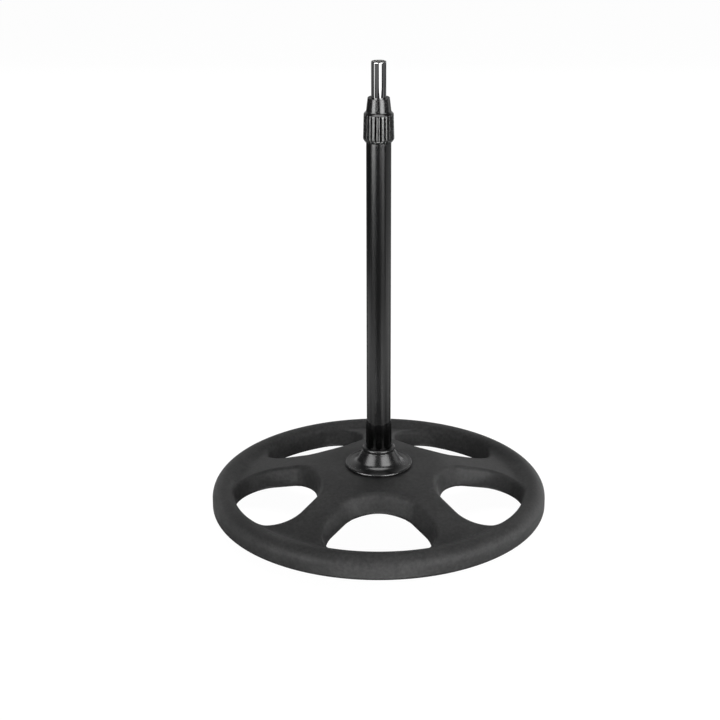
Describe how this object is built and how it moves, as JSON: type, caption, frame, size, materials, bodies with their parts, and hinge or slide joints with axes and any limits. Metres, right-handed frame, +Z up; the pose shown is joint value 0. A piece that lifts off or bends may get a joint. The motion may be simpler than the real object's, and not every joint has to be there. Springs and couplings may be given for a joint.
{
  "type": "telescopic pedestal stand",
  "caption": "Round weighted wheel base with five windows, cone-covered black pole, ribbed twist-lock collar and sliding chromed mast tube.",
  "frame": {"origin": "on the floor under the middle of the pole", "axes": "+Z up along the pole; one window of the base faces -Y"},
  "size_m": [0.448, 0.448, 0.607],
  "materials": {
    "base_plastic": "fine matte texture",
    "dark_plate": "moulded",
    "iron": "raw casting",
    "rubber": "moulded rubber",
    "zinc": "zinc plated",
    "painted_steel": "gloss black powder coat",
    "gloss_black": "gloss moulding",
    "lock_plastic": "satin moulding",
    "nylon": "natural nylon",
    "brass": "turned",
    "chrome": "polished chrome plate"
  },
  "bodies": {
    "stand": {"base_shell": "base_plastic", "base_plate": "dark_plate", "ballast_casting": "iron", "rubber_feet": "rubber", "plate_screws": "zinc", "flange_gasket": "rubber", "foot_flange": "painted_steel", "socket_tube": "painted_steel", "flange_bolts": "zinc", "flange_washers": "zinc", "flange_nuts": "zinc", "socket_screws": "zinc", "outer_tube": "painted_steel", "stop_pad": "rubber", "lock_body": "lock_plastic", "collet_liner": "nylon"},
    "cover": {"flange_cover": "gloss_black"},
    "wedge": {"clamp_ring": "brass"},
    "collar": {"lock_collar": "lock_plastic", "ring_retainer": "zinc"},
    "carriage": {"guide_bush": "nylon"},
    "mast": {"inner_tube": "chrome", "guide_rings": "zinc", "tube_cap": "dark_plate"}
  },
  "joints": [
    {"name": "height_slide", "type": "slide", "parent": "stand", "child": "carriage", "axis": [0, 0, 1], "range_m": [-0.04, 0.275]},
    {"name": "mast_swivel", "type": "hinge", "parent": "carriage", "child": "mast", "pos_m": [0, 0, 0.181], "axis": [0, 0, 1], "continuous": true},
    {"name": "collar_travel", "type": "slide", "parent": "stand", "child": "wedge", "axis": [0, 0, 1], "range_m": [0, 0.0025]},
    {"name": "collar_turn", "type": "hinge", "parent": "wedge", "child": "collar", "pos_m": [0, 0, 0.52], "axis": [0, 0, 1], "range_deg": [0, 360]},
    {"name": "cover_lift", "type": "slide", "parent": "stand", "child": "cover", "axis": [0, 0, 1], "range_m": [0, 0.41]}
  ],
  "couplings": [
    {"joint": "collar_travel", "follows": "collar_turn", "m_per_rad": 0.00039788}
  ]
}
